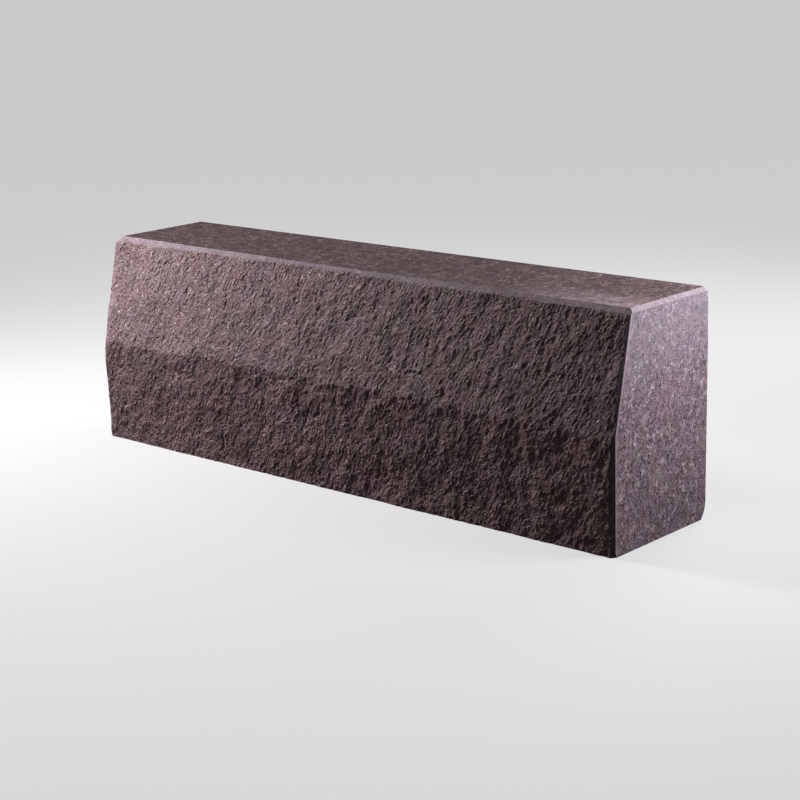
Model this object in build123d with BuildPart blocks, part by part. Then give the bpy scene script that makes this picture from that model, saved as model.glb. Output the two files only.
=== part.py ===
from build123d import *
from math import cos, pi, sin
import os

# Granite kerb stone, one solid piece, in millimetres.
# X runs along the kerb, Y from the dressed street face (-Y) to the sawn back (+Y), Z up.
# The origin is the centre of the bed, under the middle of the piece's box.

# Driving dimensions of the section
length = 768.0              # sawn end to sawn end
height = 250.0              # bed to top
top_width = 144.0           # back plane to the street edge of the top, before that edge is chamfered
body_width = 171.0          # back plane to the hewn arris, the widest section
arris_height = 128.0        # bed to the hewn arris that parts the batter from the foot
foot_retreat_left = 3.2     # how far the foot runs back under the arris at the left end
foot_retreat_right = 1.2    # the same at the right end

# Dressed edges
top_chamfer_left = 7.0      # leg of the chamfer round the top, at the left end
top_chamfer_right = 5.0     # the same at the right end
end_bevel = 3.0             # leg of the bevel down each upright corner
corner_break = 0.6          # depth ground off each corner where chamfers and bevel meet
heel_rise = 18.0            # height of the broken edge between back and bed
heel_depth = 8.0            # how far that broken edge reaches in under the back
heel_flats = 3              # flat breaks that make up its round

# Hewn arris: straight in the drafted margins at the ends, wandering between them
margin = 42.0               # drafted margin at each end
station_pitch = 38.0        # distance between the sections that the street face is worked to
arris_wander = 1.3          # how far the arris strays up and down
arris_loss = 1.1            # most that is spalled off the arris
arris_dip = 2.4             # how far the arris runs down to the right margin
dip_reach = 70.0            # length of the stretch over which it does so
long_wave = 211.0           # lengths of the two waves that make up the wander
short_wave = 83.0
heel_wander = 0.2           # share by which the broken heel grows and shrinks along the piece

# Planes that follow from them
half_length = length / 2
half_worked = half_length - margin
front = -body_width / 2
back = body_width / 2
top_front = back - top_width


def along(x):
    """Share of the way from the left margin to the right one, the same all through each margin."""
    return min(max((x + half_worked) / (2 * half_worked), 0.0), 1.0)


def worked(x):
    """0 in the drafted margins, rising to 1 over one station inside them."""
    return min(max((half_worked - abs(x)) / station_pitch, 0.0), 1.0)


def waves(x):
    """Phases of the long and the short wave at x."""
    return 2 * pi * x / long_wave, 2 * pi * x / short_wave


def arris_point(x):
    """Depth and height of the hewn arris in the section at x."""
    long_turn, short_turn = waves(x)
    stray = arris_wander * (0.6 * sin(long_turn) + 0.4 * sin(short_turn + 1))
    loss = arris_loss * (0.5 - 0.5 * cos(long_turn + short_turn))
    dip = arris_dip * max(0.0, 1 - max(half_worked - x, 0.0) / dip_reach)
    return front + loss * worked(x), arris_height + stray * worked(x) - dip


def foot_depth(x):
    """Where the foot of the street face meets the bed."""
    return front + foot_retreat_left + (foot_retreat_right - foot_retreat_left) * along(x)


def heel_points(x):
    """Broken edge from the back down to the bed: flats of a round that leaves the back tangent."""
    long_turn, short_turn = waves(x)
    size = 1 + heel_wander * (0.6 * sin(long_turn + 2) + 0.4 * sin(short_turn)) * worked(x)
    points = []
    for step in range(heel_flats + 1):
        share = step / heel_flats
        points.append((back - heel_depth * size * share**2, heel_rise * size * (1 - share)))
    return points


def section(x):
    """Outline at x before the edges are dressed, as points of depth and height."""
    return [(foot_depth(x), 0.0), arris_point(x), (top_front, height), (back, height), *heel_points(x)]


# Sections at both ends, at the inner ends of the margins, and evenly spaced between those
worked_bays = max(1, round(2 * half_worked / station_pitch))
stations = [-half_length]
for bay in range(worked_bays + 1):
    stations.append(half_worked * (2 * bay / worked_bays - 1))
stations.append(half_length)


def square_to(run):
    """Unit vector square to a run up the street face, pointing out of that face."""
    return Vector(0, -run.Z, run.Y).normalized()


def long_chamfer(edge_y, inward, run_out):
    """Plane that chamfers one long edge of the top, as wide at each end as the chamfer is there.

    inward is the way in from the edge along Y, and run_out how far the face below it stands out
    from the edge for each millimetre of drop.
    """
    left = Vector(-half_length, edge_y + inward * top_chamfer_left, height)
    right = Vector(half_length, edge_y + inward * top_chamfer_right, height)
    down_slope = Vector(0, -inward * (1 + run_out), -1)
    waste_side = down_slope.cross(right - left) * inward
    return Plane(origin=left, z_dir=waste_side)


def end_planes(side, chamfer_leg):
    """Planes that dress the edges of one end, each with its normal pointing into the waste."""
    end_x = side * half_length
    outward = Vector(side, 0, 0)
    bevel_inset = outward * -end_bevel
    foot = Vector(end_x, foot_depth(end_x), 0)
    arris = Vector(end_x, *arris_point(end_x))
    street_edge = Vector(end_x, top_front, height)
    back_edge = Vector(end_x, back, height)
    batter_out = square_to(street_edge - arris)
    foot_out = square_to(arris - foot)
    back_out = Vector(0, 1, 0)
    up = Vector(0, 0, 1)
    planes = [
        Plane(origin=arris + bevel_inset, z_dir=batter_out + outward),
        Plane(origin=arris + bevel_inset, z_dir=foot_out + outward),
        Plane(origin=back_edge + bevel_inset, z_dir=back_out + outward),
        Plane(origin=(end_x, 0, height - chamfer_leg), z_dir=outward + up),
    ]
    for edge, face_out, inward in ((street_edge, batter_out, 1), (back_edge, back_out, -1)):
        peak = edge + Vector(-side * chamfer_leg, inward * chamfer_leg, 0)
        facet_out = ((face_out + outward).normalized() + up).normalized()
        planes.append(Plane(origin=peak - facet_out * corner_break, z_dir=facet_out))
    return planes


batter_run = (top_front - front) / (height - arris_height)
dressings = [long_chamfer(top_front, 1, batter_run), long_chamfer(back, -1, 0)]
dressings += end_planes(-1, top_chamfer_left)
dressings += end_planes(1, top_chamfer_right)

# The piece: worked sections joined by ruled faces, then each edge dressed flat by one plane
with BuildPart() as kerb_stone:
    for station in stations:
        with BuildSketch(Plane.YZ.offset(station)):
            with BuildLine():
                Polyline(*section(station), close=True)
            make_face()
    loft(ruled=True)
    for dressing in dressings:
        split(bisect_by=dressing, keep=Keep.BOTTOM)

kerb_stone.part.label = "kerb_stone"

os.makedirs("parts", exist_ok=True)
export_step(kerb_stone.part, "parts/kerb_stone.step")
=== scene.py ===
"""Granite kerb stone: one dressed stone with its finishes, a plain studio and a camera.

Lengths are in metres and colours are sRGB bytes. X runs along the kerb, Y from the worked street
face to the sawn back, and Z up. The origin is the centre of the bed.
"""

import logging
from dataclasses import dataclass, field
from enum import Enum
from functools import reduce
from math import cos, pi, radians, sin, tau

import bpy
import numpy as np
from mathutils import Color, Matrix, Vector
from mathutils.geometry import delaunay_2d_cdt


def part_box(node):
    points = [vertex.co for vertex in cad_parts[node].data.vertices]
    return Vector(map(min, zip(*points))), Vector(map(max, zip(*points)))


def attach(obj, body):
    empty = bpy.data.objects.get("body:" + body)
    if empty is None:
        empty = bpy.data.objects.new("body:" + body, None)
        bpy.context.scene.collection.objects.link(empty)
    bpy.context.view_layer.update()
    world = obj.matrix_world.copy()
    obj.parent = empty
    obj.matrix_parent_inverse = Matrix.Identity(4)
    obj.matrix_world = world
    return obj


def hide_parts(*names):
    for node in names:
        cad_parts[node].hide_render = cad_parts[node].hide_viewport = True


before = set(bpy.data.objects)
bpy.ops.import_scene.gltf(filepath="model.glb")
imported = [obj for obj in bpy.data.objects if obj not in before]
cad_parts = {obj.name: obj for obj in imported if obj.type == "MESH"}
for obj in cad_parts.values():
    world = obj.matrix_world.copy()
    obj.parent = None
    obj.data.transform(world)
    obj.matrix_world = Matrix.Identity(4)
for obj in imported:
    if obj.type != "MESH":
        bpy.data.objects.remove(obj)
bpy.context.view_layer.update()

LOG = logging.getLogger("kerb_stone")
MM = 0.001
NODE = "kerb_stone"
BODY = "root"

# Attributes that the meshing hands to the relief
BATTER_PLANE = "batter_plane"
FOOT_PLANE = "foot_plane"
GROUND_PLANE = "ground_plane"
HOLLOW_MASK = "hollow_mask"
STREET_MASK = "street_mask"
FINISH_INDEX = "finish_index"

# Attributes that the relief hands to the materials
GROUND_MASK = "ground_mask"
FOOT_MASK = "foot_mask"

Pair = tuple[float, float]
Triple = tuple[float, float, float]
Array = np.ndarray
Socket = bpy.types.NodeSocket

# The two ways in which the granite's hue strays from its base colour
WARM = (1.0, -0.1, -0.7)
ROSY = (0.5, -0.6, 0.5)

# Middle of the range of a random colour
MIDDLE = (0.5, 0.5, 0.5)

# Lean of the tool strokes on the street face, from the run of the kerb
STROKE_ANGLE = radians(66)


def linear(colour: Triple) -> tuple[float, ...]:
    """Turns an sRGB colour of 0 to 255 into the scene linear values that a socket takes."""
    return (*Color([channel / 255 for channel in colour]).from_srgb_to_scene_linear(), 1.0)


def ramp(value: Array, start: Array | float, stop: Array | float) -> Array:
    """Share of the way from start to stop, held at 0 before it and at 1 past it."""
    return np.clip((value - start) / (stop - start), 0.0, 1.0)


class Side(Enum):
    """The two ends of the stone, by the sign of X."""

    LEFT = -1
    RIGHT = 1


class Region(Enum):
    """Regions of the skin, each with a finish of its own."""

    SPLIT = 0
    GROUND = 1
    HONED = 2
    END = 3
    SAWN = 4
    BROKEN = 5
    EDGE = 6


class Wiring:
    """Adds nodes to one tree and joins them."""

    def __init__(self, tree: bpy.types.NodeTree) -> None:
        """Takes the tree that the nodes go into."""
        self.tree = tree

    @classmethod
    def over(cls, block: bpy.types.Material | bpy.types.World) -> "Wiring":
        """Turns a material or a world over to nodes.

        Args:
            block: The material or world, whose nodes are cleared.

        Returns:
            The wiring of its tree.
        """
        block.use_nodes = True
        block.node_tree.nodes.clear()
        return cls(block.node_tree)

    def node(self, kind: str, wires: dict | None = None, **settings: object) -> bpy.types.Node:
        """Adds a node, sets its properties and fills its inputs.

        Args:
            kind: Blender's name of the node type.
            wires: Input name or number to the socket that feeds it, or to its value.
            settings: Properties of the node.

        Returns:
            The new node.
        """
        node = self.tree.nodes.new(kind)
        for name, value in settings.items():
            setattr(node, name, value)
        for key, value in (wires or {}).items():
            self.feed(node.inputs[key], value)
        return node

    def feed(self, target: Socket, value: object) -> None:
        """Links a socket to the target, or sets the target's value.

        Args:
            target: The input socket.
            value: An output socket, or a plain value.
        """
        if isinstance(value, Socket):
            self.tree.links.new(value, target)
        else:
            target.default_value = value

    def math(self, operation: str, a: object, b: object = 0.0, c: object = 0.0) -> Socket:
        """Works out a number from up to three sockets or numbers."""
        return self.node("ShaderNodeMath", {0: a, 1: b, 2: c}, operation=operation).outputs[0]

    def product(self, *factors: object) -> Socket:
        """Multiplies sockets and numbers."""
        return reduce(lambda total, factor: self.math("MULTIPLY", total, factor), factors)

    def scaled_sum(self, *terms: tuple[Socket, object]) -> Socket:
        """Adds up sockets, each times its own weight."""
        return reduce(lambda total, term: self.math("MULTIPLY_ADD", *term, total), terms, 0.0)

    def vector(self, operation: str, a: object, b: object = (0, 0, 0)) -> Socket:
        """Works out a vector, or the number of a dot product, from two sockets or vectors."""
        node = self.node("ShaderNodeVectorMath", {0: a, 1: b}, operation=operation)
        return node.outputs["Value" if operation == "DOT_PRODUCT" else "Vector"]

    def scaled(self, vector: object, scale: object) -> Socket:
        """Multiplies a vector or colour by one number."""
        node = self.node("ShaderNodeVectorMath", {0: vector, "Scale": scale}, operation="SCALE")
        return node.outputs["Vector"]

    def axes(self, vector: Socket) -> bpy.types.NodeOutputs:
        """Parts a vector or colour into its X, Y and Z."""
        return self.node("ShaderNodeSeparateXYZ", {0: vector}).outputs

    def joined(self, x: object, y: object, z: object) -> Socket:
        """Makes a vector of three sockets or numbers."""
        return self.node("ShaderNodeCombineXYZ", {0: x, 1: y, 2: z}).outputs[0]

    def window(self, value: Socket, low: object, high: object, curve: str = "SMOOTHSTEP") -> Socket:
        """Maps a value to a mask that rises from 0 at low to 1 at high, along the named curve."""
        wires = {"Value": value, 1: low, 2: high}
        return self.node("ShaderNodeMapRange", wires, interpolation_type=curve).outputs[0]

    def blend(self, factor: object, a: object, b: object) -> Socket:
        """Mixes two colours, with the factor as the share of the second."""
        return self.node("ShaderNodeMix", {0: factor, 6: a, 7: b}, data_type="RGBA").outputs[2]

    def slide(self, factor: object, a: object, b: object) -> Socket:
        """Mixes two numbers, with the factor as the share of the second."""
        return self.node("ShaderNodeMix", {0: factor, 2: a, 3: b}, data_type="FLOAT").outputs[0]

    def per_metre(self, size: object) -> object:
        """Turns the size of a pattern's forms into the pattern's scale."""
        return self.math("DIVIDE", 1.0, size) if isinstance(size, Socket) else 1 / size

    def swing(self, vector: Socket, size: object, detail: float = 2.0, rough: float = 0.5) -> Socket:
        """Adds noise that swings evenly to both sides of zero, its largest forms of the given size."""
        wires = {"Vector": vector, "Scale": self.per_metre(size), "Detail": detail, "Roughness": rough}
        return self.math("SUBTRACT", self.node("ShaderNodeTexNoise", wires).outputs[0], 0.5)

    def bent(self, vector: Socket, place: Socket, size: float, detail: float) -> Socket:
        """Shifts coordinates about by noise that is as strong as its forms are large.

        Args:
            vector: The coordinates.
            place: Where the noise is read.
            size: Size of its largest forms.
            detail: Number of finer octaves.

        Returns:
            The shifted coordinates.
        """
        noise = self.node("ShaderNodeTexNoise", {"Vector": place, "Scale": 1 / size, "Detail": detail})
        shift = self.vector("SUBTRACT", noise.outputs["Color"], MIDDLE)
        return self.vector("ADD", vector, self.scaled(shift, size))

    def cells(self, vector: Socket, size: object, dimensions: str = "3D") -> bpy.types.NodeOutputs:
        """Adds Voronoi cells with their middles about one size apart."""
        wires = {"Vector": vector, "Scale": self.per_metre(size)}
        return self.node("ShaderNodeTexVoronoi", wires, voronoi_dimensions=dimensions).outputs

    def attribute(self, name: str, kind: str = "FLOAT") -> Socket:
        """Reads an attribute of the mesh in a geometry tree."""
        return self.node("GeometryNodeInputNamedAttribute", {"Name": name}, data_type=kind).outputs[0]

    def mask(self, name: str) -> Socket:
        """Reads an attribute of the mesh in a material."""
        return self.node("ShaderNodeAttribute", attribute_name=name).outputs["Fac"]


def new_group(name: str, kind: str, inputs: dict, outputs: dict) -> tuple[Wiring, dict, bpy.types.Node]:
    """Makes a node group with named sockets.

    Args:
        name: The group's name.
        kind: Blender's name of the tree type.
        inputs: Socket name to a pair of its type and its first value.
        outputs: Socket name to its type.

    Returns:
        The wiring of the group, its input sockets by name, and its output node.
    """
    tree = bpy.data.node_groups.new(name, kind)
    for label, (socket_type, value) in inputs.items():
        socket = tree.interface.new_socket(name=label, in_out="INPUT", socket_type=socket_type)
        if value is not None:
            socket.default_value = value
    for label, socket_type in outputs.items():
        tree.interface.new_socket(name=label, in_out="OUTPUT", socket_type=socket_type)
    entry = tree.nodes.new("NodeGroupInput")
    leave = tree.nodes.new("NodeGroupOutput")
    return Wiring(tree), {label: entry.outputs[label] for label in inputs}, leave


def placed(name: str, data: bpy.types.ID) -> bpy.types.Object:
    """Makes an object and links it into the scene.

    Args:
        name: The object's name.
        data: Its mesh, light or camera.

    Returns:
        The object.
    """
    thing = bpy.data.objects.new(name, data)
    bpy.context.scene.collection.objects.link(thing)
    return thing


@dataclass(frozen=True)
class Relief:
    """Hewn relief of the street face: how deep, how large and how drawn out its forms are."""

    broad: float = 4.0 * MM
    rough: float = 3.8 * MM
    facet_slope: float = 0.17
    facet_step: float = 0.25 * MM
    groove: float = 0.4 * MM
    gouge: float = 3.5
    scallop: float = 2.6 * MM
    scallop_sink: float = 0.4
    settle: float = 1.3 * MM
    foot_settle: float = 0.3 * MM
    settle_slope: float = -0.5 * MM
    broad_size: float = 48 * MM
    rough_size: float = 18 * MM
    facet_size: float = 4.2 * MM
    groove_size: float = 6.5 * MM
    gouge_size: float = 24 * MM
    scallop_size: float = 34 * MM
    rough_stretch: float = 1.5
    groove_stretch: float = 2.0
    groove_edge: Pair = (0.07, 0.22)
    gouge_edge: Pair = (0.05, 0.2)
    ground_edge: Pair = (0.25 * MM, -0.25 * MM)
    foot_edge: Pair = (-0.4 * MM, 0.2 * MM)
    gain: float = 0.65
    foot_shift: float = 8 * MM
    seed: float = 3.0

    def group(self) -> bpy.types.NodeTree:
        """Builds the node group that gives the depth of the relief at a point of the face.

        Returns:
            The group, with the depth into the stone as its output.
        """
        inputs = {label: ("NodeSocketFloat", 0.0) for label in ("Along", "Up", "Seed")}
        outputs = {"Depth": "NodeSocketFloat"}
        wiring, socket, leave = new_group("hewn_relief", "GeometryNodeTree", inputs, outputs)
        place = wiring.joined(socket["Along"], socket["Up"], socket["Seed"])
        turn = {"Vector": place, "Angle": -STROKE_ANGLE}
        turned = wiring.node("ShaderNodeVectorRotate", turn, rotation_type="Z_AXIS").outputs[0]
        drawn = wiring.vector("MULTIPLY", turned, (1 / self.rough_stretch, 1, 1))
        stroke = wiring.vector("MULTIPLY", turned, (1 / self.groove_stretch, 1, 1))

        broad = wiring.swing(place, self.broad_size)
        rough = wiring.swing(drawn, self.rough_size, detail=3.0, rough=0.62)
        facets = self.facets(wiring, drawn)
        grooves = wiring.window(wiring.swing(stroke, self.groove_size, rough=0.6), *self.groove_edge)
        gouged = wiring.window(wiring.swing(place, self.gouge_size), *self.gouge_edge)
        grooves = wiring.product(grooves, wiring.math("MULTIPLY_ADD", gouged, self.gouge, 1.0))
        terms = (broad, self.broad), (rough, self.rough), (facets, 1.0), (grooves, self.groove)
        wiring.feed(leave.inputs["Depth"], wiring.scaled_sum(*terms))
        return wiring.tree

    def facets(self, wiring: Wiring, place: Socket) -> Socket:
        """Adds small flat breaks, each tilted its own way.

        Args:
            wiring: Where the nodes go.
            place: Coordinates on the face.

        Returns:
            Depth of the breaks.
        """
        bent = wiring.bent(place, place, self.facet_size, detail=2.0)
        cells = wiring.cells(bent, self.facet_size, "2D")
        from_middle = wiring.vector("SUBTRACT", bent, cells["Position"])
        lot = wiring.vector("SUBTRACT", cells["Color"], MIDDLE)
        tilt = wiring.vector("DOT_PRODUCT", from_middle, wiring.vector("MULTIPLY", lot, (1, 1, 0)))
        step = wiring.axes(lot)["Z"]
        return wiring.scaled_sum((tilt, 2 * self.facet_slope), (step, self.facet_step))

    def tree(self, materials: list[bpy.types.Material]) -> bpy.types.NodeTree:
        """Builds the tree that works the street face and hands out the finishes.

        Args:
            materials: One material for each region, in the order of the regions.

        Returns:
            The tree, with Seed and Depth as named inputs.
        """
        inputs = {
            "Geometry": ("NodeSocketGeometry", None),
            "Seed": ("NodeSocketFloat", self.seed),
            "Depth": ("NodeSocketFloat", 1.0),
        }
        outputs = {"Geometry": "NodeSocketGeometry"}
        wiring, socket, leave = new_group("stone_dressing", "GeometryNodeTree", inputs, outputs)
        wiring.tree.is_modifier = True
        place = wiring.node("GeometryNodeInputPosition").outputs[0]
        parts = wiring.axes(place)
        batter, foot = self.hewn_planes(wiring, parts, socket["Seed"], socket["Depth"])
        scallops = wiring.swing(place, self.scallop_size, rough=0.6)
        scallops = wiring.math("MULTIPLY_ADD", scallops, 2 * self.scallop, self.scallop_sink * self.scallop)
        foot = wiring.math("MULTIPLY_ADD", wiring.attribute(HOLLOW_MASK), scallops, foot)
        hewn = wiring.math("MAXIMUM", batter, foot)
        ground = wiring.attribute(GROUND_PLANE)
        masks = {
            GROUND_MASK: wiring.window(wiring.math("SUBTRACT", hewn, ground), *self.ground_edge, "LINEAR"),
            FOOT_MASK: wiring.window(wiring.math("SUBTRACT", foot, batter), *self.foot_edge, "LINEAR"),
        }
        moved = wiring.joined(parts["X"], wiring.math("MAXIMUM", hewn, ground), parts["Z"])
        on_street = wiring.math("GREATER_THAN", wiring.attribute(STREET_MASK), 0.5)

        geometry = socket["Geometry"]
        for name, mask in masks.items():
            store = {"Geometry": geometry, "Name": name, "Value": mask}
            geometry = wiring.node("GeometryNodeStoreNamedAttribute", store, data_type="FLOAT").outputs[0]
        worked = {"Geometry": geometry, "Selection": on_street, "Position": moved}
        geometry = wiring.node("GeometryNodeSetPosition", worked).outputs[0]
        geometry = wiring.node("GeometryNodeRealizeInstances", {0: geometry}).outputs[0]
        index = wiring.attribute(FINISH_INDEX, "INT")
        for region, material in zip(Region, materials):
            pair = {2: index, 3: region.value}
            match = wiring.node("FunctionNodeCompare", pair, data_type="INT", operation="EQUAL").outputs[0]
            dress = {"Geometry": geometry, "Selection": match, "Material": material}
            geometry = wiring.node("GeometryNodeSetMaterial", dress).outputs[0]
        wiring.feed(leave.inputs["Geometry"], geometry)
        return wiring.tree

    def hewn_planes(
        self, wiring: Wiring, parts: bpy.types.NodeOutputs, seed: Socket, depth: Socket
    ) -> list[Socket]:
        """Works the relief into the two planes of the street face.

        Args:
            wiring: Where the nodes go.
            parts: X, Y and Z of the point.
            seed: Number that picks the relief.
            depth: Factor on its depth.

        Returns:
            Depths of the batter and of the foot.
        """
        group = self.group()
        strength = wiring.product(wiring.math("MULTIPLY_ADD", parts["X"], self.gain, 1.0), depth)
        surfaces = []
        planes = ((BATTER_PLANE, 0.0, self.settle), (FOOT_PLANE, self.foot_shift, self.foot_settle))
        for plane, shift, settle in planes:
            wires = {"Along": parts["X"], "Up": parts["Z"], "Seed": wiring.math("ADD", seed, shift)}
            relief = wiring.node("GeometryNodeGroup", wires, node_tree=group).outputs["Depth"]
            settling = wiring.math("MULTIPLY_ADD", parts["X"], self.settle_slope, settle)
            sunk = wiring.math("MULTIPLY_ADD", relief, strength, settling)
            surfaces.append(wiring.math("ADD", wiring.attribute(plane), sunk))
        return surfaces


@dataclass(frozen=True)
class Finish:
    """One way in which the granite's surface is left, with the colours that it shows."""

    name: str
    base: Triple
    pale: Triple
    dark: Triple
    patch: float = 0.10
    mottle: float = 0.16
    mottle_size: float = 9 * MM
    grain: float = 0.4
    grain_size: float = 1.2 * MM
    hue: float = 0.25
    # Painted light: scales the colour along the kerb, darker towards one end and lighter towards the other,
    # in place of the lamps' fall-off and sheen
    painted_light_gradient: float = 0.0
    veins: float = 0.0
    vein_size: float = 12 * MM
    # Pale crystals, which on the split face also stand in for glints as painted highlights
    flecks_and_glints: float = 0.25
    fleck_size: float = 4.5 * MM
    fleck_stretch: float = 1.0
    specks: float = 0.2
    # Painted sheen: a paler, streaky stretch of the top towards its right front corner
    painted_top_sheen: float = 0.0
    # Painted highlight: a light band on an end along its street edge
    painted_edge_highlight: float = 0.0
    # Painted sheen: the upper part of an end lightened towards a paler, greyer tone
    painted_end_sheen: float = 0.0
    roughness: float = 0.85
    specular: float = 0.1
    bump: float = 0.4 * MM
    bump_size: float = 1.8 * MM
    bump_stretch: float = 1.0


# Fields of a finish that the shader group takes as inputs of the same names
TONES = ("base", "pale", "dark")
AMOUNTS = (
    "patch", "mottle", "mottle_size", "grain", "grain_size", "hue", "painted_light_gradient", "veins", "vein_size",
    "flecks_and_glints", "fleck_size", "fleck_stretch", "specks", "bump", "bump_size", "bump_stretch",
)


@dataclass
class Stonework:
    """The granite: its shader group, built once, and the materials that are made with it."""

    end_edge: list[Pair]
    patch_size: float = 55 * MM
    bend_size: float = 3 * MM
    tint_sizes: tuple[Pair, ...] = ((32 * MM, 1.0), (5 * MM, 0.5))
    warm_shift: Triple = (3.0, 1.0, 2.0)
    rosy_shift: Triple = (6.0, 5.0, 1.0)
    cluster_shift: Triple = (1.0, 4.0, 6.0)
    cluster_size: float = 9 * MM
    cluster_edge: Pair = (-0.08, 0.14)
    vein_width: float = 0.04
    fleck_rarity: float = 3.0
    fleck_reach: Pair = (0.165, 0.6325)
    fleck_shade: Pair = (0.35, 1.0)
    fleck_polish: float = 0.25
    speck_shift: Triple = (5.0, 2.0, 7.0)
    speck_size: float = 3.6 * MM
    speck_rarity: float = 4.0
    speck_reach: float = 0.5
    crystal_edge: Pair = (-0.03, 0.12)
    # Painted shade: a redder, slightly darker tone for the foot of the street face
    painted_shade_foot_tint: Triple = (1.05, 0.98, 0.99)
    # Painted sheen on the top: its run along the kerb, its depth from the street edge, its tone, and the
    # streaks that break it up
    painted_top_sheen_run: Pair = (190 * MM, 350 * MM)
    painted_top_sheen_depth: Pair = (15 * MM, -45 * MM)
    painted_top_sheen_tone: Triple = (168, 153, 158)
    streak_size: float = 11 * MM
    streak_edge: Pair = (-0.2, 0.22)
    # Painted sheen over the upper part of an end: the heights it rises over and its gain on the base colour
    painted_end_sheen_rise: Pair = (130 * MM, 235 * MM)
    painted_end_sheen_gain: Triple = (1.18, 1.46, 1.45)
    # Painted highlight along the street edge of an end: how far in it reaches and its gain on the base
    # colour
    painted_edge_highlight_width: Pair = (8 * MM, 4 * MM)
    painted_edge_highlight_gain: Triple = (1.75, 1.85, 1.85)
    # Painted shade: the street-side bevel at the right end is darkened, as it faces away from the lamps
    painted_shade_run: Pair = (375 * MM, 380 * MM)
    painted_bevel_shade: float = 0.66
    ragged_size: float = 4 * MM
    worn_edge: Pair = (0.42, 0.58)
    group: bpy.types.NodeTree = field(init=False)

    def __post_init__(self) -> None:
        """Builds the group."""
        self.group = self.build_group()

    def build_group(self) -> bpy.types.NodeTree:
        """Builds the group that gives the stone's colour, the mask of its pale crystals and painted glints,
        and its fine grit.

        Returns:
            The group.
        """
        inputs = {"Vector": ("NodeSocketVector", None)}
        inputs |= {label: ("NodeSocketColor", None) for label in TONES}
        inputs |= {label: ("NodeSocketFloat", getattr(Finish, label)) for label in AMOUNTS}
        outputs = {"Color": "NodeSocketColor", "Fleck": "NodeSocketFloat", "Height": "NodeSocketFloat"}
        wiring, socket, leave = new_group("granite", "ShaderNodeTree", inputs, outputs)
        place = socket["Vector"]
        drawn = wiring.vector("DIVIDE", place, wiring.joined(1.0, 1.0, socket["fleck_stretch"]))
        drawn = wiring.bent(drawn, place, self.bend_size, detail=1.0)
        crystal = wiring.axes(wiring.cells(drawn, socket["grain_size"])["Color"])["X"]
        shade = wiring.scaled_sum(
            (wiring.swing(place, self.patch_size), socket["patch"]),
            (wiring.swing(drawn, socket["mottle_size"], detail=4.0, rough=0.65), socket["mottle"]),
            (wiring.math("SUBTRACT", crystal, 0.5), socket["grain"]),
        )
        tone = wiring.scaled(socket["base"], wiring.math("MULTIPLY_ADD", shade, 2.0, 1.0))

        for size, share in self.tint_sizes:
            warm = wiring.swing(wiring.vector("ADD", place, self.warm_shift), size)
            rosy = wiring.swing(wiring.vector("ADD", place, self.rosy_shift), size)
            tint = wiring.vector("ADD", wiring.scaled(WARM, warm), wiring.scaled(ROSY, rosy))
            tint = wiring.scaled(tint, wiring.product(socket["hue"], share))
            tone = wiring.vector("MULTIPLY", tone, wiring.vector("ADD", tint, (1, 1, 1)))

        line = wiring.math("ABSOLUTE", wiring.swing(drawn, socket["vein_size"], detail=3.0, rough=0.6))
        cluster = wiring.swing(wiring.vector("ADD", place, self.cluster_shift), self.cluster_size)
        cluster = wiring.window(cluster, *self.cluster_edge)
        veins = wiring.product(wiring.window(line, self.vein_width, 0.0), cluster, socket["veins"])
        tone = wiring.blend(veins, tone, socket["pale"])

        # Pale crystals; on the split face they also stand in for glints, as painted highlights
        reach = wiring.slide(cluster, *self.fleck_reach)
        fleck, lot = self.crystals(wiring, drawn, socket["fleck_size"], self.fleck_rarity, reach)
        fleck = wiring.product(fleck, wiring.slide(lot, *self.fleck_shade), socket["flecks_and_glints"])
        tone = wiring.blend(fleck, tone, socket["pale"])

        shifted = wiring.vector("ADD", place, self.speck_shift)
        speck, _ = self.crystals(wiring, shifted, self.speck_size, self.speck_rarity, self.speck_reach)
        tone = wiring.blend(wiring.product(speck, socket["specks"]), tone, socket["dark"])
        # Painted light and shade: the colour grows lighter or darker along the kerb, standing in for how
        # the lamps' light falls along it
        painted_light_gradient = wiring.math("MULTIPLY_ADD", wiring.axes(place)["X"], socket["painted_light_gradient"], 1.0)
        wiring.feed(leave.inputs["Color"], wiring.scaled(tone, painted_light_gradient))
        wiring.feed(leave.inputs["Fleck"], fleck)

        turn = {"Vector": place, "Angle": STROKE_ANGLE}
        turned = wiring.node("ShaderNodeVectorRotate", turn, rotation_type="Y_AXIS").outputs[0]
        stroke = wiring.vector("DIVIDE", turned, wiring.joined(socket["bump_stretch"], 1.0, 1.0))
        grit = wiring.swing(stroke, socket["bump_size"], detail=3.0, rough=0.65)
        wiring.feed(leave.inputs["Height"], wiring.product(grit, socket["bump"]))
        return wiring.tree

    def crystals(
        self, wiring: Wiring, place: Socket, size: object, rarity: float, reach: object
    ) -> tuple[Socket, Socket]:
        """Masks crystals of random sizes, one in each cell.

        Args:
            wiring: Where the nodes go.
            place: Where the cells are read.
            size: Distance between the cells' middles.
            rarity: Power that makes large crystals rarer than small ones.
            reach: Radius of the largest, as a share of that distance.

        Returns:
            The mask, and a random number for each cell.
        """
        cells = wiring.cells(place, size)
        lot = wiring.axes(cells["Color"])
        radius = wiring.product(wiring.math("POWER", lot["X"], rarity), reach)
        inside = wiring.math("SUBTRACT", radius, cells["Distance"])
        return wiring.window(inside, *self.crystal_edge), lot["Y"]

    def surface(self, wiring: Wiring, place: Socket, finish: Finish) -> list[Socket]:
        """Places the group in a material.

        Args:
            wiring: The material's wiring.
            place: Object coordinates.
            finish: Whose colours and amounts are used.

        Returns:
            The colour, the mask of the pale crystals and painted glints, and the height of the grit.
        """
        wires = {"Vector": place}
        wires |= {label: linear(getattr(finish, label)) for label in TONES}
        wires |= {label: getattr(finish, label) for label in AMOUNTS}
        return list(wiring.node("ShaderNodeGroup", wires, node_tree=self.group).outputs)

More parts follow.
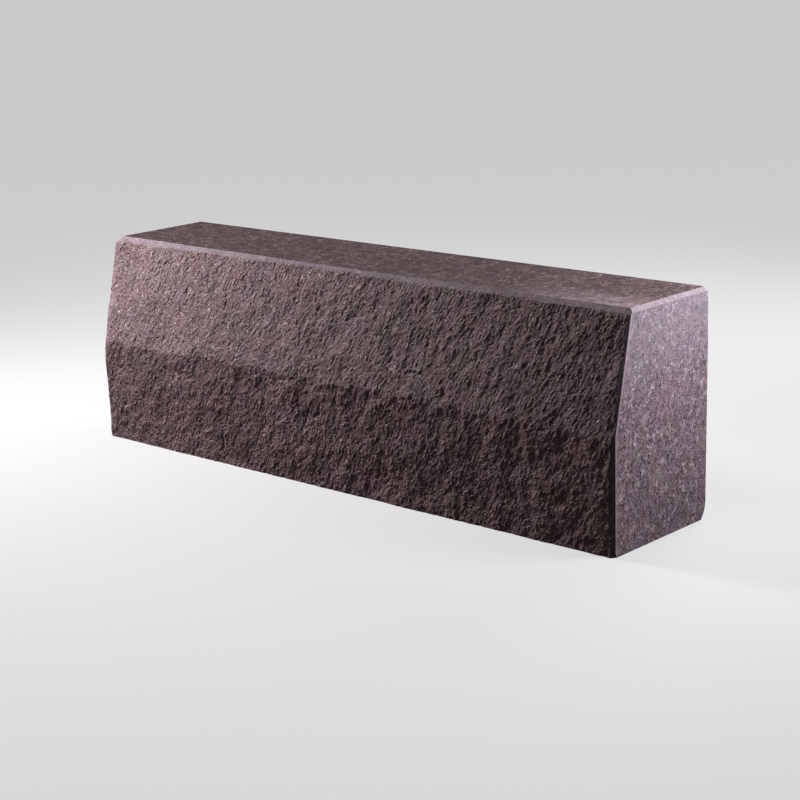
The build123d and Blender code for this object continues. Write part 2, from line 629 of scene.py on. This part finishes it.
    def paint_light(self, wiring: Wiring, place: Socket, finish: Finish, colour: Socket) -> Socket:
        """Paints a sheen over the top near its right front corner, and a sheen over the upper part of an
        end and a highlight along its street edge.

        Args:
            wiring: The material's wiring.
            place: Object coordinates.
            finish: How strong each of them is.
            colour: The colour without them.

        Returns:
            The colour with them.
        """
        parts = wiring.axes(place)
        base = Vector(linear(finish.base)[:3])
        # Painted sheen: a paler streaky stretch of the top near the right front corner
        if finish.painted_top_sheen:
            near_end = wiring.window(parts["X"], *self.painted_top_sheen_run)
            near_edge = wiring.window(parts["Y"], *self.painted_top_sheen_depth)
            streaks = wiring.swing(place, self.streak_size, detail=5.0, rough=0.75)
            streaks = wiring.window(streaks, *self.streak_edge)
            mask = wiring.product(near_end, near_edge, streaks, finish.painted_top_sheen)
            colour = wiring.blend(mask, colour, linear(self.painted_top_sheen_tone))
        # Painted sheen: the upper part of the end is lightened towards a paler, greyer tone
        if finish.painted_end_sheen:
            mask = wiring.product(wiring.window(parts["Z"], *self.painted_end_sheen_rise), finish.painted_end_sheen)
            colour = wiring.blend(mask, colour, (*base * Vector(self.painted_end_sheen_gain), 1.0))
        # Painted highlight: a light band a few millimetres wide along the street edge of the end
        if finish.painted_edge_highlight:
            lines = [wiring.math("MULTIPLY_ADD", parts["Z"], *line) for line in self.end_edge]
            inward = wiring.math("SUBTRACT", parts["Y"], wiring.math("MAXIMUM", *lines))
            mask = wiring.product(wiring.window(inward, *self.painted_edge_highlight_width), finish.painted_edge_highlight)
            colour = wiring.blend(mask, colour, (*base * Vector(self.painted_edge_highlight_gain), 1.0))
        return colour

    def material(self, finish: Finish, worn: Finish | None = None) -> bpy.types.Material:
        """Makes the material of a finish, turning into a second one where the ground mask is set.

        Args:
            finish: The main finish.
            worn: The finish under the ground mask.

        Returns:
            The material.
        """
        material = bpy.data.materials.new(finish.name)
        wiring = Wiring.over(material)
        place = wiring.node("ShaderNodeTexCoord").outputs["Object"]
        colour, fleck, height = self.surface(wiring, place, finish)
        roughness = wiring.slide(fleck, finish.roughness, finish.roughness - self.fleck_polish)
        # Painted sheens and a painted highlight, for the finishes that have them
        if finish.painted_top_sheen or finish.painted_end_sheen or finish.painted_edge_highlight:
            colour = self.paint_light(wiring, place, finish, colour)
        if worn:
            # Painted shade: the foot of the street face turns a touch redder and darker, standing in for
            # its shaded tone
            painted_shade_foot_colour = wiring.vector("MULTIPLY", colour, self.painted_shade_foot_tint)
            colour = wiring.blend(wiring.mask(FOOT_MASK), colour, painted_shade_foot_colour)
            ragged = wiring.math("ADD", wiring.mask(GROUND_MASK), wiring.swing(place, self.ragged_size))
            mask = wiring.window(ragged, *self.worn_edge)
            # Painted shade: the bevel at the right end of the street face is darkened, as it faces away
            # from the lamps
            painted_shade_on_bevel = wiring.window(wiring.axes(place)["X"], *self.painted_shade_run)
            shade = wiring.slide(painted_shade_on_bevel, 1.0, self.painted_bevel_shade)
            worn_colour, _, worn_height = self.surface(wiring, place, worn)
            colour = wiring.blend(mask, colour, wiring.scaled(worn_colour, shade))
            height = wiring.slide(mask, height, worn_height)
            roughness = wiring.slide(mask, roughness, worn.roughness)
        bump = wiring.node("ShaderNodeBump", {"Distance": 1.0, "Height": height})
        shader = wiring.node("ShaderNodeBsdfPrincipled", {
            "Base Color": colour,
            "Roughness": roughness,
            "Normal": bump.outputs[0],
            "Specular IOR Level": finish.specular,
        })
        wiring.node("ShaderNodeOutputMaterial", {"Surface": shader.outputs[0]})
        return material


@dataclass(frozen=True)
class Section:
    """The stone's section: where its planes lie at each place along the kerb."""

    low: Vector
    high: Vector
    top_width: float = 144.0 * MM
    arris_height: float = 128.0 * MM
    foot_retreat_left: float = 3.2 * MM
    foot_retreat_right: float = 1.2 * MM
    top_chamfer_left: float = 7.0 * MM
    top_chamfer_right: float = 5.0 * MM
    end_bevel: float = 3.0 * MM
    corner_break: float = 0.6 * MM
    heel_rise: float = 18.0 * MM
    heel_depth: float = 8.0 * MM
    heel_flats: int = 3
    heel_wander: float = 0.2
    heel_leads: Pair = (2.0, 0.0)
    margin: float = 42.0 * MM
    station_pitch: float = 38.0 * MM
    arris_wander: float = 1.3 * MM
    arris_leads: Pair = (0.0, 1.0)
    arris_loss: float = 0.5 * MM
    arris_dip: float = 2.4 * MM
    dip_reach: float = 70.0 * MM
    long_wave: float = 211.0 * MM
    short_wave: float = 83.0 * MM
    short_share: float = 0.4
    turn_reach: float = 4.2 * MM
    turn_slope: float = 0.8
    wear_reach: float = 12.0 * MM
    wear: float = 2.2 * MM
    wear_foot: float = 98.0 * MM
    left_round: float = 8.5 * MM
    right_leg: float = 4.2 * MM
    hollow_start: float = 4.0 * MM
    hollow_height: float = 60.0 * MM
    hollow_steepness: float = 4.0
    hollow_inset: float = 120.0 * MM
    hollow_run: float = 60.0 * MM
    chip_reach: float = 2.0 * MM
    chip_rise: float = 5.0 * MM
    chip_slope: float = 1.3
    street_legs: tuple[Pair, ...] = (
        (-384 * MM, 7.2 * MM),
        (-300 * MM, 6.8 * MM),
        (-215 * MM, 5.2 * MM),
        (-155 * MM, 6.4 * MM),
        (-95 * MM, 4.9 * MM),
        (20 * MM, 5.0 * MM),
        (170 * MM, 6.0 * MM),
        (260 * MM, 4.9 * MM),
        (384 * MM, 6.0 * MM),
    )

    @property
    def half_length(self) -> float:
        """Half the length of the stone."""
        return (self.high.x - self.low.x) / 2

    @property
    def half_worked(self) -> float:
        """Half the length between the drafted margins."""
        return self.half_length - self.margin

    @property
    def height(self) -> float:
        """Height of the top above the bed."""
        return self.high.z

    @property
    def top_front(self) -> float:
        """Depth of the street edge of the top before its chamfer."""
        return self.high.y - self.top_width

    def worked(self, x: Array) -> Array:
        """0 in the drafted margins, rising to 1 over one station inside them."""
        return ramp(np.abs(x), self.half_worked, self.half_worked - self.station_pitch)

    def wander(self, x: Array, long_lead: float, short_lead: float) -> Array:
        """Sum of a long and a short wave along the kerb, still in the drafted margins.

        Args:
            x: Places along the kerb.
            long_lead: Lead of the long wave in radians.
            short_lead: Lead of the short wave in radians.

        Returns:
            Values from -1 to 1.
        """
        long_swing = np.sin(tau * x / self.long_wave + long_lead)
        short_swing = np.sin(tau * x / self.short_wave + short_lead)
        return (long_swing + (short_swing - long_swing) * self.short_share) * self.worked(x)

    def arris(self, x: Array) -> tuple[Array, Array]:
        """Depth and height of the hewn arris.

        Args:
            x: Places along the kerb.

        Returns:
            Depths and heights.
        """
        both_turns = tau * x / self.long_wave + tau * x / self.short_wave
        depth = self.low.y + self.arris_loss * (0.5 - 0.5 * np.cos(both_turns)) * self.worked(x)
        dip = self.arris_dip * ramp(x, self.half_worked - self.dip_reach, self.half_worked)
        stray = self.arris_wander * self.wander(x, *self.arris_leads)
        return depth, self.arris_height + stray - dip

    def foot(self, x: Array) -> Array:
        """Where the foot of the street face meets the bed."""
        change = self.foot_retreat_right - self.foot_retreat_left
        return self.low.y + self.foot_retreat_left + change * ramp(x, -self.half_worked, self.half_worked)

    def batter_plane(self, x: Array, z: Array) -> Array:
        """Depth of the sloped upper half of the street face."""
        arris_y, arris_z = self.arris(x)
        return arris_y + (self.top_front - arris_y) * (z - arris_z) / (self.height - arris_z)

    def foot_plane(self, x: Array, z: Array) -> Array:
        """Depth of the nearly upright lower half of the street face."""
        arris_y, arris_z = self.arris(x)
        return self.foot(x) + (arris_y - self.foot(x)) * z / arris_z

    def face(self, x: Array, z: Array) -> Array:
        """Depth of the street face before its edges are dressed."""
        return np.maximum(self.batter_plane(x, z), self.foot_plane(x, z))

    def end_edge(self) -> list[Pair]:
        """The two lines of the street edge at the right end.

        Returns:
            Slope and depth at the bed of each line, foot first.
        """
        end = np.array([self.half_length])
        lines = []
        for plane in (self.foot_plane, self.batter_plane):
            start = float(plane(end, 0.0)[0])
            lines.append(((float(plane(end, self.height)[0]) - start) / self.height, start))
        return lines

    def hollow(self, x: Array, z: Array) -> Array:
        """Share of the hollows struck under the arris: steep just below it, running out downwards.

        Args:
            x: Places along the kerb.
            z: Heights.

        Returns:
            Shares from 0 to 1.
        """
        below = (self.arris(x)[1] + self.hollow_start - z) / self.hollow_height
        profile = np.clip(self.hollow_steepness * below, 0, 1) * np.clip(1 - below, 0, 1) ** 2
        start = self.low.x + self.hollow_inset
        return profile * self.worked(x) * ramp(x, start, start + self.hollow_run)

    def chamfer_leg(self, x: Array) -> Array:
        """Leg of the chamfer along the back edge of the top."""
        change = self.top_chamfer_right - self.top_chamfer_left
        return self.top_chamfer_left + change * ramp(x, self.low.x, self.high.x)

    def street_leg(self, x: Array) -> Array:
        """Leg of the chamfer along the street edge, which was ground unevenly by hand."""
        return np.interp(x, *zip(*self.street_legs))

    def top_height(self, x: Array) -> Array:
        """Height of the top, dropping round the worn left end and along the chamfer at the right.

        Args:
            x: Places along the kerb.

        Returns:
            Heights.
        """
        turn = ramp(x, self.low.x + self.left_round, self.low.x)
        left_drop = self.left_round * (1 - np.sqrt(1 - turn**2))
        right_drop = np.maximum(0, x - (self.high.x - self.right_leg))
        return self.height - left_drop - right_drop

    def left_wear(self, x: Array, z: Array) -> Array:
        """Extra depth where the batter rounds off towards the left end."""
        turn = ramp(x, self.low.x + self.wear_reach, self.low.x)
        return self.wear * ramp(z, self.wear_foot, self.arris_height) * turn**2

    def facet(self, side: Side, front: bool, x: Array, z: Array) -> Array:
        """Depth of the small plane ground over one top corner.

        Args:
            side: The end of the stone.
            front: Whether the corner is at the street face instead of the back.
            x: Places along the kerb.
            z: Heights.

        Returns:
            Depths of that plane.
        """
        end_x = side.value * self.half_length
        arris_y, arris_z = self.arris(np.array([end_x]))
        run = Vector((0, self.top_front - arris_y[0], self.height - arris_z[0]))
        face_out = Vector((0, -run.z, run.y)).normalized() if front else Vector((0, 1, 0))
        outward = Vector((side.value, 0, 0))
        normal = ((face_out + outward).normalized() + Vector((0, 0, 1))).normalized()
        leg = self.top_chamfer_left if side is Side.LEFT else self.top_chamfer_right
        edge_y = self.top_front + leg if front else self.high.y - leg
        peak = Vector((end_x - side.value * leg, edge_y, self.height)) - normal * self.corner_break
        return peak.y - (normal.x * (x - peak.x) + normal.z * (z - peak.z)) / normal.y

    def ground_front(self, x: Array, z: Array) -> Array:
        """Depth that the chamfer, bevels, corner facets and chip leave at the street side.

        Args:
            x: Places along the kerb.
            z: Heights.

        Returns:
            The largest of their depths.
        """
        arris_y, arris_z = self.arris(x)
        run_out = (self.top_front - arris_y) / (self.height - arris_z)
        chamfer = self.top_front + self.street_leg(x) - (1 + run_out) * (self.height - z)
        face = self.face(x, z)
        clear = self.low.y - self.margin
        chamfer = np.where(chamfer > face - self.end_bevel, chamfer, clear)
        past_turn = x - (self.high.x - self.turn_reach)
        bevel = np.where(past_turn > -self.end_bevel, face + self.turn_slope * past_turn, clear)
        ground = np.maximum(chamfer, bevel)
        for side in Side:
            ground = np.maximum(ground, self.facet(side, True, x, z))
        inward = x - self.high.x + self.chip_reach * (1 - ramp(z, 0, self.chip_rise) ** 2)
        chip = self.foot(x) + self.end_bevel + self.chip_slope * inward
        return np.where((inward > 0) & (z < self.chip_rise), np.maximum(ground, chip), ground)

    def back(self, x: Array, z: Array) -> Array:
        """Depth of the back with its heel, chamfer, bevels and facets.

        Args:
            x: Places along the kerb.
            z: Heights.

        Returns:
            The smallest of their depths.
        """
        depth = self.high.y - np.maximum(0, self.chamfer_leg(x) - (self.height - z))
        past_bevel = np.abs(x) - (self.half_length - self.end_bevel)
        depth = np.minimum(depth, self.high.y - np.maximum(0, past_bevel))
        for side in Side:
            depth = np.minimum(depth, self.facet(side, False, x, z))
        size = self.heel_size(x)
        lines = np.linspace(0, 1, self.heel_flats + 1)
        share = ramp(z, self.heel_rise * size, 0)
        return depth - self.heel_depth * size * np.interp(share, lines, lines**2)

    def heel_size(self, x: Array) -> Array:
        """Size of the broken heel against its mean."""
        return 1 + self.heel_wander * self.wander(x, *self.heel_leads)


@dataclass(frozen=True)
class KerbStone:
    """The dressed stone: a closed skin of rings along the kerb, capped at both ends."""

    section: Section
    relief: Relief
    street_pitch: float = 1.58 * MM
    end_pitch: float = 4.5 * MM
    end_row: float = 0.9
    end_room: float = 0.7
    join_gap: float = 1e-7
    top_rows: int = 8
    bed_rows: int = 4
    back_rows: int = 4
    lip: float = 0.3 * MM
    stray: float = 0.45 * MM
    seed: int = 7

    @property
    def street_rows(self) -> int:
        """Number of faces up the street face."""
        return round(self.section.height / self.street_pitch)

    def stations(self) -> Array:
        """Places of the rings: even along the stone, and on every edge line near the ends.

        Returns:
            The places in order.
        """
        half = self.section.half_length
        lines = [-half, self.section.end_bevel - half, self.section.left_round - half]
        lines += [half - self.section.turn_reach, half - self.section.end_bevel, half]
        runs = []
        for start, stop in zip(lines, lines[1:]):
            steps = max(1, round((stop - start) / self.street_pitch))
            runs.append(np.linspace(start, stop, steps, endpoint=False))
        return np.array([*np.concatenate(runs), half])

    def build(self, materials: list[bpy.types.Material]) -> bpy.types.Object:
        """Makes the stone's mesh and works its street face.

        Args:
            materials: One material for each region.

        Returns:
            The finished object.
        """
        blank = placed("kerb_blank", self.skin(*self.rings(self.stations())))
        modifier = blank.modifiers.new("dressing", "NODES")
        modifier.node_group = self.relief.tree(materials)
        seed_input = modifier.node_group.interface.items_tree["Seed"]
        modifier[seed_input.identifier] = self.relief.seed
        evaluated = blank.evaluated_get(bpy.context.evaluated_depsgraph_get())
        worked = bpy.data.meshes.new_from_object(evaluated)
        blank.modifiers.clear()
        bpy.data.objects.remove(blank)
        worked.name = "kerb_stone_dressed"
        return placed("kerb_stone_dressed", worked)

    def rings(self, x: Array) -> tuple[Array, dict[str, Array]]:
        """Places the vertices of every ring: up the street face, over the top, down the back, under.

        Args:
            x: Places of the rings.

        Returns:
            Vertices by ring, row and axis, and the number attributes by ring and row.
        """
        section = self.section
        top = section.top_height(x)
        street_x = np.repeat(x[:, None], self.street_rows + 1, axis=1)
        street_z = np.outer(top, np.linspace(0, 1, self.street_rows + 1))
        free = np.zeros(street_x.shape)
        free[np.abs(x) < section.half_length - section.left_round - self.street_pitch, 1:-1] = 1
        draw = np.random.default_rng(self.seed)
        street_x += free * draw.uniform(-self.stray, self.stray, free.shape)
        street_z += free * draw.uniform(-self.stray, self.stray, free.shape)
        wear = section.left_wear(street_x, street_z)
        layers = {
            BATTER_PLANE: section.batter_plane(street_x, street_z) + wear,
            FOOT_PLANE: section.foot_plane(street_x, street_z) + wear,
            GROUND_PLANE: section.ground_front(street_x, street_z),
            HOLLOW_MASK: section.hollow(street_x, street_z),
            STREET_MASK: np.ones(street_x.shape),
        }
        street_y = np.max([layers[BATTER_PLANE], layers[FOOT_PLANE], layers[GROUND_PLANE]], axis=0)
        back_z = self.back_heights(x, top)
        back_x = np.repeat(x[:, None], back_z.shape[1], axis=1)

        street = np.stack([street_x, street_y, street_z], axis=-1)
        back = np.stack([back_x, section.back(back_x, back_z), back_z], axis=-1)
        over = self.bridge(street[:, -1], back[:, 0], self.top_rows)
        under = self.bridge(back[:, -1], street[:, 0], self.bed_rows)
        rings = np.concatenate([street, over, back, under], axis=1)
        rest = ((0, 0), (0, rings.shape[1] - street.shape[1]))
        return rings, {name: np.pad(values, rest) for name, values in layers.items()}

    def back_heights(self, x: Array, top: Array) -> Array:
        """Heights of the rows down the back, on its chamfer and heel lines.

        Args:
            x: Places of the rings.
            top: Height of the top at each.

        Returns:
            Heights by ring and row, from the top down.
        """
        section = self.section
        chamfer = np.minimum(section.height - section.chamfer_leg(x), top - self.lip)
        heel = section.heel_rise * section.heel_size(x)
        plain = np.linspace(chamfer, heel, self.back_rows, endpoint=False, axis=1)
        broken = np.linspace(heel, np.zeros_like(heel), section.heel_flats + 1, axis=1)
        return np.column_stack([top, plain, broken])

    @staticmethod
    def bridge(start: Array, stop: Array, rows: int) -> Array:
        """Points on straight lines between two columns of points, as rows of faces between them."""
        shares = np.linspace(0, 1, rows + 1)[None, 1:-1, None]
        return start[:, None, :] + (stop - start)[:, None, :] * shares

    def skin(self, rings: Array, attributes: dict[str, Array]) -> bpy.types.Mesh:
        """Joins the rings with quads and closes both ends.

        Args:
            rings: Vertices by ring, row and axis.
            attributes: Number attributes by ring and row.

        Returns:
            The closed mesh with its attributes.
        """
        count, rows = rings.shape[:2]
        vertices = rings.reshape(-1, 3)
        ring = np.arange(count - 1)[:, None] * rows
        row = np.arange(rows)[None, :]
        after = (row + 1) % rows
        quads = np.stack([ring + row, ring + rows + row, ring + rows + after, ring + after], axis=-1)
        faces = quads.reshape(-1, 4).tolist()
        labels = self.face_finishes(rings[..., 0]).ravel().tolist()
        extra = []
        for side, first in ((Side.LEFT, 0), (Side.RIGHT, (count - 1) * rows)):
            inner, triangles = self.cap(vertices[first:first + rows], side)
            base = len(vertices) + len(extra)
            for triangle in triangles:
                corners = [first + k if k < rows else base + k - rows for k in triangle]
                faces.append(corners if side is Side.RIGHT else corners[::-1])
                labels.append(Region.END.value)
            extra.extend(inner)
        mesh = bpy.data.meshes.new("kerb_blank")
        mesh.from_pydata(vertices.tolist() + extra, [], faces)
        for name, values in attributes.items():
            layer = mesh.attributes.new(name, "FLOAT", "POINT")
            layer.data.foreach_set("value", np.concatenate([values.ravel(), np.zeros(len(extra))]))
        layer = mesh.attributes.new(FINISH_INDEX, "INT", "FACE")
        layer.data.foreach_set("value", labels)
        mesh.validate()
        return mesh

    def face_finishes(self, x: Array) -> Array:
        """Region of every face between the rings.

        Args:
            x: Places of the vertices along the kerb, by ring and row.

        Returns:
            Region numbers by ring and row.
        """
        middle = (x[:-1] + x[1:]) / 2
        runs = (
            (Region.SPLIT, self.street_rows),
            (Region.HONED, self.top_rows),
            (Region.GROUND, 1),
            (Region.SAWN, self.back_rows),
            (Region.BROKEN, self.section.heel_flats),
            (Region.SAWN, self.bed_rows),
        )
        row = [region.value for region, count in runs for _ in range(count)]
        finishes = np.tile(row, (len(middle), 1))
        half = self.section.half_length
        turned = (middle < self.section.left_round - half) | (middle > half - self.section.right_leg)
        finishes[(finishes == Region.HONED.value) & turned] = Region.EDGE.value
        bevelled = np.abs(middle) > half - self.section.end_bevel
        finishes[(finishes == Region.SAWN.value) & bevelled] = Region.GROUND.value
        return finishes

    def cap(self, outline: Array, side: Side) -> tuple[list[Triple], list[list[int]]]:
        """Fills one end of the stone with even triangles.

        Args:
            outline: The ring at that end.
            side: Which end it is.

        Returns:
            The vertices inside the outline, and triangles that number the outline first.
        """
        section = self.section
        end_x = side.value * section.half_length
        place = np.array([end_x])
        room = self.end_room * self.end_pitch
        near_top = section.top_height(place)[0] - room
        across = np.arange(section.low.y, section.high.y, self.end_pitch)
        inner = []
        for z in np.arange(self.end_pitch, near_top, self.end_pitch * self.end_row):
            front = section.face(place, z)[0] + section.end_bevel + room
            back = section.back(place, z)[0] - room
            inner.extend((end_x, float(y), float(z)) for y in across if front < y < back)
        points = [Vector((y, z)) for _, y, z in outline] + [Vector((y, z)) for _, y, z in inner]
        rows = len(outline)
        result = delaunay_2d_cdt(points, [], [list(range(rows - 1, -1, -1))], 1, self.join_gap)
        source = [origins[0] for origins in result[3]]
        return inner, [[source[k] for k in face] for face in result[2]]


@dataclass(frozen=True)
class Lamp:
    """One soft studio lamp."""

    name: str
    place: Triple
    aim: Triple
    size: float
    power: float
    tint: Triple = (255, 255, 255)

    def build(self) -> bpy.types.Object:
        """Makes the lamp as a square area light.

        Returns:
            The lamp's object.
        """
        data = bpy.data.lights.new(self.name, "AREA")
        data.shape = "SQUARE"
        data.size = self.size
        data.energy = self.power
        data.color = linear(self.tint)[:3]
        lamp = placed(self.name, data)
        towards = Vector(self.aim) - Vector(self.place)
        lamp.location = self.place
        lamp.rotation_mode = "QUATERNION"
        lamp.rotation_quaternion = towards.to_track_quat("-Z", "Y")
        lamp.visible_camera = False
        return lamp


@dataclass(frozen=True)
class Studio:
    """A pale floor that fills the view, a pale surround and the lamps."""

    floor_radius: float = 40.0
    floor_sides: int = 96
    floor_colour: Triple = (226, 225, 226)
    floor_glow: float = 0.78
    shade_colour: Triple = (120, 119, 120)
    dim_floor: Triple = (64, 61, 62)
    surround: Triple = (232, 231, 232)
    fill: float = 0.05
    lamps: tuple[Lamp, ...] = (
        Lamp("key_lamp", (-0.74, -0.24, 0.75), (-0.15, -0.05, 0.12), 0.24, 15.6, (255, 253, 255)),
        Lamp("end_lamp", (0.60, 0.10, 0.48), (0.38, 0.00, 0.30), 0.16, 2.3, (252, 250, 255)),
        Lamp("back_lamp", (0.10, 1.10, 0.90), (0.0, 0.0, 0.15), 0.60, 13.0),
    )

    def build(self) -> bpy.types.Object:
        """Makes the floor, the surround and the lamps.

        Returns:
            The floor's object.
        """
        for lamp in self.lamps:
            lamp.build()
        self.build_surround()
        ring = [tau * step / self.floor_sides for step in range(self.floor_sides)]
        vertices = [(self.floor_radius * cos(turn), self.floor_radius * sin(turn), 0) for turn in ring]
        mesh = bpy.data.meshes.new("floor")
        mesh.from_pydata(vertices, [], [list(range(self.floor_sides))])
        mesh.materials.append(self.floor_material())
        return placed("floor", mesh)

    @staticmethod
    def seen(wiring: Wiring) -> Socket:
        """Marks the rays that show the surround: camera, glossy and transmission rays.

        Args:
            wiring: Where the nodes go.

        Returns:
            1 for those rays and 0 for others.
        """
        path = wiring.node("ShaderNodeLightPath").outputs
        shown = wiring.math("MAXIMUM", path["Is Camera Ray"], path["Is Glossy Ray"])
        return wiring.math("MAXIMUM", shown, path["Is Transmission Ray"])

    def floor_material(self) -> bpy.types.Material:
        """Makes the pale floor, which keeps shadows and throws little light back at the stone.

        Returns:
            The material.
        """
        material = bpy.data.materials.new("plain_floor")
        wiring = Wiring.over(material)
        pale = linear(self.floor_colour)
        matt = wiring.node("ShaderNodeBsdfDiffuse", {"Color": linear(self.shade_colour)}).outputs[0]
        glow = wiring.node("ShaderNodeEmission", {"Color": pale, "Strength": self.floor_glow}).outputs[0]
        shown = wiring.node("ShaderNodeAddShader", {0: matt, 1: glow}).outputs[0]
        dim = wiring.node("ShaderNodeBsdfDiffuse", {"Color": linear(self.dim_floor)}).outputs[0]
        mixed = wiring.node("ShaderNodeMixShader", {0: self.seen(wiring), 1: dim, 2: shown}).outputs[0]
        wiring.node("ShaderNodeOutputMaterial", {"Surface": mixed})
        return material

    def build_surround(self) -> None:
        """Makes the world: pale where it is seen, and a weak even fill for the stone."""
        world = bpy.data.worlds.new("surround")
        bpy.context.scene.world = world
        wiring = Wiring.over(world)
        strength = wiring.slide(self.seen(wiring), self.fill, 1.0)
        wires = {"Color": linear(self.surround), "Strength": strength}
        background = wiring.node("ShaderNodeBackground", wires).outputs[0]
        wiring.node("ShaderNodeOutputWorld", {"Surface": background})


@dataclass(frozen=True)
class Viewpoint:
    """The camera: where it stands, how it is turned, and its lens."""

    place: Triple = (1441.1 * MM, -1583.3 * MM, 640.3 * MM)
    heading: float = radians(-41.742)
    dip: float = radians(14.484)
    roll: float = radians(-1.422)
    focal_pixels: float = 1928.6
    image_pixels: float = 800.0
    sensor: float = 36.0

    def build(self) -> bpy.types.Object:
        """Makes the camera and gives it to the scene.

        Returns:
            The camera's object.
        """
        data = bpy.data.cameras.new("photo_camera")
        data.sensor_width = self.sensor
        data.lens = self.sensor * self.focal_pixels / self.image_pixels
        camera = placed("photo_camera", data)
        turned = Matrix.Rotation(-self.heading, 4, "Z") @ Matrix.Rotation(pi / 2 - self.dip, 4, "X")
        rolled = turned @ Matrix.Rotation(self.roll, 4, "Z")
        camera.matrix_world = Matrix.Translation(Vector(self.place)) @ rolled
        bpy.context.scene.camera = camera
        return camera


# painted_light_gradient is painted shade on the split and ground faces, darker towards the right end, and
# on the honed top painted shade at the left and painted sheen at the right
SPLIT = Finish(
    "split_granite", (130, 110, 112), (214, 202, 205), (58, 46, 47),
    patch=0.25, mottle=0.35, grain=0.55, hue=0.2, painted_light_gradient=-0.2, veins=0.15, flecks_and_glints=0.9, fleck_size=2.6 * MM,
    specks=0.15, bump=1.0 * MM, bump_size=1.7 * MM, bump_stretch=2.2,
)
GROUND = Finish(
    "ground_granite", (109, 97, 102), (190, 178, 184), (76, 64, 68),
    patch=0.25, mottle=0.4, grain=0.35, hue=0.16, painted_light_gradient=-0.2, veins=0.2, flecks_and_glints=0.3, roughness=0.75,
    specular=0.05, bump=0.05 * MM,
)
EDGE = Finish(
    "ground_edge", (146, 135, 139), (220, 210, 214), (100, 86, 92),
    patch=0.1, mottle=0.25, grain=0.25, veins=0.15, flecks_and_glints=0.35, roughness=0.75, specular=0.05,
    bump=0.05 * MM,
)
HONED = Finish(
    "honed_granite", (62, 50, 51), (156, 134, 136), (38, 29, 29),
    patch=0.2, mottle=0.7, mottle_size=14 * MM, grain=0.55, grain_size=1.8 * MM, painted_light_gradient=1.0, veins=0.45,
    vein_size=8 * MM, flecks_and_glints=0.35, fleck_size=2.6 * MM, painted_top_sheen=0.45, roughness=0.78, specular=0.03,
    bump=0.03 * MM,
)
HAMMERED = Finish(
    "hammered_granite", (146, 127, 135), (246, 233, 238), (72, 58, 63),
    patch=0.35, mottle=0.75, mottle_size=7 * MM, grain=0.8, grain_size=1.1 * MM, hue=0.2, veins=0.6,
    vein_size=8 * MM, flecks_and_glints=1.0, fleck_size=2.3 * MM, fleck_stretch=1.4, specks=0.4, painted_edge_highlight=0.75,
    painted_end_sheen=0.45, roughness=0.8, bump=0.65 * MM, bump_size=1.6 * MM,
)
SAWN = Finish(
    "sawn_granite", (132, 115, 119), (205, 194, 198), (72, 60, 63),
    patch=0.3, mottle=0.5, hue=0.16, veins=0.3, flecks_and_glints=0.35, roughness=0.75, specular=0.05,
    bump=0.06 * MM,
)
BROKEN = Finish(
    "broken_granite", (125, 107, 111), (200, 186, 190), (60, 49, 51), bump=0.5 * MM, bump_size=4 * MM,
)

# The finish of each region, and the one that it turns into under the ground mask
FINISHES = {
    Region.SPLIT: (SPLIT, GROUND),
    Region.GROUND: (GROUND,),
    Region.HONED: (HONED,),
    Region.END: (HAMMERED,),
    Region.SAWN: (SAWN,),
    Region.BROKEN: (BROKEN,),
    Region.EDGE: (EDGE,),
}


def main() -> None:
    """Builds the scene in order and reports each piece."""
    logging.basicConfig(level=logging.INFO, format="%(message)s")
    bpy.context.scene.view_settings.view_transform = "Standard"
    section = Section(*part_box(NODE))
    stonework = Stonework(section.end_edge())
    materials = [stonework.material(*FINISHES[region]) for region in Region]
    stone = KerbStone(section, Relief()).build(materials)
    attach(stone, BODY)
    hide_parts(NODE)
    triangles = sum(len(face.vertices) - 2 for face in stone.data.polygons)
    LOG.info("%s: %d faces, %d triangles", stone.name, len(stone.data.polygons), triangles)

    studio = Studio()
    studio.build()
    LOG.info("studio: %d lamps", len(studio.lamps))
    camera = Viewpoint().build()
    LOG.info("%s: lens %.1f mm", camera.name, camera.data.lens)


if __name__ == "__main__":
    main()
